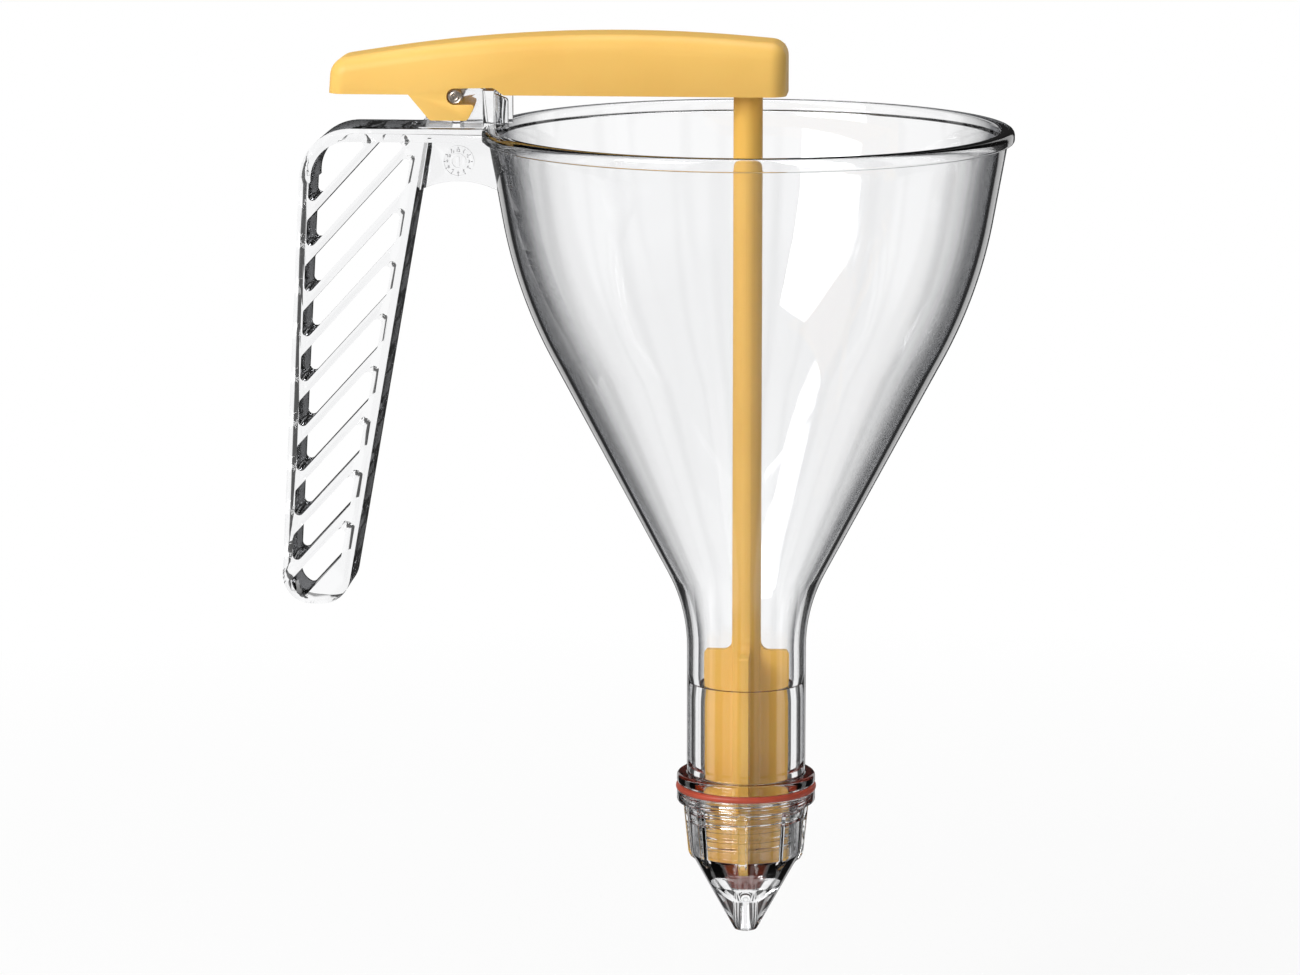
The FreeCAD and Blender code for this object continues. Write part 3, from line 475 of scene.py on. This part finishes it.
# A line of (radius, along) points from the middle of one end to the other's, every other ring sunk by
# groove, turned about the hinge's axis
def makePin(size):
    end = [(size["pole"], 0.0), (size["rings"][0] - size["ringGap"], 0.0)]
    for n, radius in enumerate(size["rings"]):
        depth = -size["groove"] if n % 2 == 0 else 0.0
        end += [(radius, depth), (radius + size["ringStep"], depth)]
    end += [(size["radius"] - size["chamfer"], 0.0), (size["radius"], -size["chamfer"])]
    front = [(radius, -size["half"] - depth) for radius, depth in end]
    back = [(radius, size["half"] + depth) for radius, depth in reversed(end)]
    pin = turnedBar("pivot_pin_steel", front + back, (size["reach"], size["height"]))
    pin.data.set_sharp_from_angle(angle=math.radians(size["sharp"]))
    return pin


finishPiece(makePin(pinSize), steelMaterial, "frame", "pivot_pin")
print("pin made")

# Dial on the web: twelve ticks and plain numbers between its rings
dialSize = {"reach": -79.3, "height": 215.1, "face": -1.2, "rise": 0.3, "sink": 0.02, "numbers": 3.0,
            "ticks": 3.75, "letter": 1.15, "tickWidth": 0.16, "tickLength": 0.5, "count": 12, "sharp": 30}


# Points and faces of one upright number round the dial, turned from the XY plane to face the front
def dialNumber(n, turn, size):
    text = bpy.data.curves.new("number%d" % n, "FONT")
    text.body, text.align_x, text.align_y = str(n), "CENTER", "CENTER"
    text.size, text.extrude = size["letter"], size["rise"] / 2
    holder = bpy.data.objects.new("number%d" % n, text)
    bpy.context.scene.collection.objects.link(holder)
    bpy.context.view_layer.update()
    ready = holder.evaluated_get(bpy.context.evaluated_depsgraph_get())
    shape = bpy.data.meshes.new_from_object(ready)
    flat = np.empty(len(shape.vertices) * 3)
    shape.vertices.foreach_get("co", flat)
    flat = flat.reshape(-1, 3)
    across = size["reach"] + size["numbers"] * math.sin(turn) + flat[:, 0]
    up = size["height"] + size["numbers"] * math.cos(turn) + flat[:, 1]
    depth = size["face"] - size["rise"] / 2 + size["sink"] - flat[:, 2]
    faces = [list(face.vertices) for face in shape.polygons]
    bpy.data.objects.remove(holder)
    return np.stack([across, depth, up], -1), faces


# Points and faces of one tick: a small box whose length lies along the dial's radius
def dialTick(turn, size):
    away = size["ticks"] + np.array([-1, 1, 1, -1, -1, 1, 1, -1]) * size["tickLength"] / 2
    side = np.array([-1, -1, 1, 1, -1, -1, 1, 1]) * size["tickWidth"] / 2
    depth = size["face"] + size["sink"] - np.array([0, 0, 0, 0, 1, 1, 1, 1]) * size["rise"]
    across = size["reach"] + away * math.sin(turn) + side * math.cos(turn)
    up = size["height"] + away * math.cos(turn) - side * math.sin(turn)
    faces = [[0, 1, 2, 3], [4, 5, 6, 7], [0, 1, 5, 4], [1, 2, 6, 5], [2, 3, 7, 6], [3, 0, 4, 7]]
    return np.stack([across, depth, up], -1), faces


def makeDial(size):
    pieces = []
    for n in range(1, size["count"] + 1):
        turn = 2 * math.pi * n / size["count"]
        pieces += [dialNumber(n, turn, size), dialTick(turn, size)]
    starts = np.cumsum([0] + [len(points) for points, shape in pieces])
    faces = []
    for (points, shape), start in zip(pieces, starts):
        faces += [[v + start for v in face] for face in shape]
    dial = meshObject("dial_marks", np.concatenate([points for points, shape in pieces]), faces)
    dial.data.set_sharp_from_angle(angle=math.radians(size["sharp"]))
    return dial


finishPiece(makeDial(dialSize), markMaterial, "frame")
print("dial made")

# Nozzle: sizes in millimetres, and how far each corner of its section is rounded
nozzleSize = {"outlet": 2.2, "outletLength": 9.7, "tip": 3.1, "shoulder": 15.1, "shoulderHeight": 22.0,
              "body": 16.6, "rim": 19.2, "rimLow": 36.9, "top": 40.3, "nut": 14.2, "floor": 22.2,
              "seat": 10.5, "seatTop": 17.9, "seatLowRadius": 7.0, "seatLow": 13.6, "ribs": 8,
              "ribWidth": 2.0, "ribRise": 0.9, "ribLow": 19.4, "ribSlope": 1.4, "nutDepth": 0.7,
              "nutLow": 30.375, "nutTurns": 2.0, "nutFoot": 0.24, "nutCrest": 0.08, "pitch": 2.75,
              "ribFade": (0.25, 0.1), "ribShort": 0.3, "onSide": 0.5, "onNut": 0.02,
              "tipRow": 1.0, "sideRow": 0.5, "nutRow": 0.25, "otherRow": 1.2, "steps": 400,
              "rounding": {"outlet": 0.2, "tip": 0.45, "shoulder": 3.0, "underRim": 0.3, "rimLow": 0.8,
                           "rimTop": 0.5, "nut": 0.2, "floor": 0.6, "seatTop": 1.0, "seatLow": 0.8,
                           "bore": 1.2}}


# Section of the cap turned about Z, with ribs added to the radius of its side and a screw ridge taken
# from the radius of its nut
def makeNozzle(size):
    bend = size["rounding"]
    corners = [
        (size["outlet"], 0.0, bend["outlet"]),
        (size["tip"], 0.0, bend["tip"], size["tipRow"]),
        (size["shoulder"], size["shoulderHeight"], bend["shoulder"], size["sideRow"]),
        (size["body"], size["rimLow"], bend["underRim"]),
        (size["rim"], size["rimLow"], bend["rimLow"]),
        (size["rim"], size["top"], bend["rimTop"]),
        (size["nut"], size["top"], bend["nut"], size["nutRow"]),
        (size["nut"], size["floor"], bend["floor"]),
        (size["seat"], size["seatTop"], bend["seatTop"]),
        (size["seatLowRadius"], size["seatLow"], bend["seatLow"]),
        (size["outlet"], size["outletLength"], bend["bore"])]

    # Radius of the side: a cone up to the shoulder and a steeper one above it
    def side(height):
        slope = (size["body"] - size["shoulder"]) / (size["rimLow"] - size["shoulderHeight"])
        cone = size["tip"] + (size["shoulder"] - size["tip"]) * height / size["shoulderHeight"]
        wall = size["shoulder"] + slope * (height - size["shoulderHeight"])
        return np.where(height < size["shoulderHeight"], cone, wall)

    def shape(angle, radius, height):
        between = (height > size["ribLow"]) & (height < size["rimLow"] - size["ribShort"])
        onSide = (np.abs(radius - side(height)) < size["onSide"]) & between
        spread = angle * size["ribs"] / (2 * np.pi)
        away = np.abs(spread - np.round(spread)) * (2 * np.pi / size["ribs"]) * radius
        half, (inner, outer) = size["ribWidth"] / 2, size["ribFade"]
        rib = 1 - wave(half - inner, half + outer, away)
        foot = wave(size["ribLow"], size["ribLow"] + size["ribSlope"], height)
        ridge = screw(angle, height, size["nutLow"], size["pitch"], size["nutTurns"],
                      size["nutFoot"], size["nutCrest"])
        onNut = np.abs(radius - size["nut"]) < size["onNut"]
        return onSide * rib * size["ribRise"] * foot - onNut * size["nutDepth"] * ridge

    return turned("nozzle_clear", corners, size["steps"], shape, size["otherRow"])


nozzlePiece = makeNozzle(nozzleSize)
finishPiece(nozzlePiece, clearMaterial, "nozzle", "nozzle")
print("nozzle made:", len(nozzlePiece.data.polygons))

# Seal ring and stopper
sealSize = {"inside": 14.2, "outside": 19.5, "low": 40.3, "top": 42.0, "roundOut": 0.75, "roundIn": 0.3}
sealPiece = turned("nozzle_seal_ring", [
    (sealSize["inside"], sealSize["low"], sealSize["roundIn"]),
    (sealSize["outside"], sealSize["low"], sealSize["roundOut"]),
    (sealSize["outside"], sealSize["top"], sealSize["roundOut"]),
    (sealSize["inside"], sealSize["top"], sealSize["roundIn"])])
finishPiece(sealPiece, sealMaterial, "seal_ring", "nozzle_seal")
stopperPiece = refined("stopper", "stopper_cone")
finishPiece(stopperPiece, stopperMaterial, "plunger", "stopper")
print("seal and stopper made")

# Floor and studio. clear is what is seen in a clear part's inner reflections, gloss what is seen in the
# reflections off a surface: half width of a white strip and turn of the strips in degrees, strength
# between them, and how far out the floor is white, in metres.
stageLook = {"floorDrop": -0.06, "floorSize": 60.0, "floorColour": (0.9, 0.9, 0.9, 1), "floorRough": 0.9,
             "worldLight": 0.2, "soft": 3.0, "high": (0.36, 0.5), "highDark": 0.3,
             "clear": {"white": 10.0, "turn": 2.2, "dark": 0.1, "near": 0.12},
             "gloss": {"white": 5.0, "turn": 24.7, "dark": 0.03, "near": 0.01},
             "nearFade": 1.5, "shadowFade": (0.1, 0.7, 0.8, 1.0)}


# Strips every 45 degrees round the part: white within their half width, dark between them
def strips(along, across, look, soft):
    eighth = across.math("ARCTAN2", along, across) * (4.0 / math.pi) - look["turn"] / 45.0
    away = (eighth - eighth.math("ROUND", eighth)).size() * 45.0
    return away.clamp(look["white"], look["white"] + soft, 1.0, look["dark"])


# White to the camera and straight through clear walls, an even light to matt surfaces, and strips
# in reflections
def makeWorld(look):
    world = bpy.data.worlds.new("studio")
    bpy.context.scene.world = world
    world.use_nodes = True
    tree = world.node_tree
    camera, diffuse = rayKind(tree, "Is Camera Ray"), rayKind(tree, "Is Diffuse Ray")
    through = rayKind(tree, "Is Transmission Ray")
    across, along, up = Wire(tree).node("ShaderNodeTexCoord", output="Generated").axes()
    high = up.clamp(*look["high"], 1.0, look["highDark"])
    bent = strips(along, across, look["clear"], look["soft"]) * high
    clear = 1.0 - bentRay(tree) * (1.0 - bent)
    gloss = strips(along, across, look["gloss"], look["soft"]) * high
    studio = through * clear + (1.0 - through) * gloss
    bright = camera + (1.0 - camera) * (diffuse * look["worldLight"] + (1.0 - diffuse) * studio)
    background = tree.nodes["Background"]
    tree.links.new(bright.socket, background.inputs["Strength"])
    background.inputs["Color"].default_value = (1, 1, 1, 1)


# A white floor that takes the soft shadow near the part, and carries the strips on in reflections
def makeFloor(look):
    half, drop = look["floorSize"] / 2, look["floorDrop"]
    mesh = bpy.data.meshes.new("floor")
    corners = [(-half, -half, drop), (half, -half, drop), (half, half, drop), (-half, half, drop)]
    mesh.from_pydata(corners, [], [(0, 1, 2, 3)])
    floor = bpy.data.objects.new("floor", mesh)
    bpy.context.scene.collection.objects.link(floor)
    material, place, shader = newMaterial("floorWhite")
    tree = material.node_tree
    setShader(shader, Base_Color=look["floorColour"], Roughness=look["floorRough"],
              Specular_IOR_Level=0.0)
    camera, through = rayKind(tree, "Is Camera Ray"), rayKind(tree, "Is Transmission Ray")
    across, along = place.axes()[:2]
    far = place.node("ShaderNodeVectorMath", {"operation": "LENGTH"}, output=1, i0=place)
    shades = []
    for kind in (look["clear"], look["gloss"]):
        near = far.clamp(kind["near"], kind["near"] * look["nearFade"], 1.0, 0.0)
        shades.append(near + (1.0 - near) * strips(along, across, kind, look["soft"]))
    clear = 1.0 - bentRay(tree) * (1.0 - shades[0])
    studio = through * clear + (1.0 - through) * shades[1]
    glow = place.node("ShaderNodeEmission", Strength=camera + (1.0 - camera) * studio)
    shiny = (through + rayKind(tree, "Is Glossy Ray")).clamp(0.0, 1.0)
    seen = camera * far.clamp(*look["shadowFade"]) + shiny
    mixShaders(material, seen.clamp(0.0, 1.0), glow)
    mesh.materials.append(material)


# Lamps in metres and watts, all aimed at the part's middle
lampSet = {"key": {"place": (-0.9, -1.1, 0.9), "size": (0.9, 0.9), "power": 23.5},
           "fill": {"place": (1.1, -0.8, 0.5), "size": (0.8, 1.0), "power": 0.4},
           "top": {"place": (0.0, 0.2, 1.3), "size": (0.9, 0.9), "power": 7.0}}
partMiddle = (-0.02, 0, 0.14)


def areaLamp(name, place, size, power):
    lamp = bpy.data.lights.new(name, "AREA")
    lamp.shape = "RECTANGLE"
    lamp.size, lamp.size_y = size
    lamp.energy = power
    holder = bpy.data.objects.new(name, lamp)
    holder.location = place
    aim = Vector(partMiddle) - Vector(place)
    holder.rotation_euler = aim.to_track_quat("-Z", "Y").to_euler()
    bpy.context.scene.collection.objects.link(holder)


# The photograph's view: place and aim in millimetres, focal length and width in pixels
cameraView = {"place": (85.6, -1461.3, 395.0), "aim": (-0.07542, 0.98053, -0.18121), "focal": 5400.0,
              "pixels": 1300.0, "sensor": 36.0, "clipEnd": 50}


def makeCamera(view):
    data = bpy.data.cameras.new("camera")
    data.sensor_width = view["sensor"]
    data.lens = view["focal"] / view["pixels"] * view["sensor"]
    data.clip_end = view["clipEnd"]
    camera = bpy.data.objects.new("camera", data)
    camera.location = Vector(view["place"]) * mm
    camera.rotation_euler = Vector(view["aim"]).to_track_quat("-Z", "Y").to_euler()
    bpy.context.scene.collection.objects.link(camera)
    bpy.context.scene.camera = camera


makeWorld(stageLook)
makeFloor(stageLook)
for lampName, lampLook in lampSet.items():
    areaLamp(lampName, **lampLook)
makeCamera(cameraView)
bpy.context.scene.view_settings.view_transform = "Standard"
print("stage, lights and camera set")
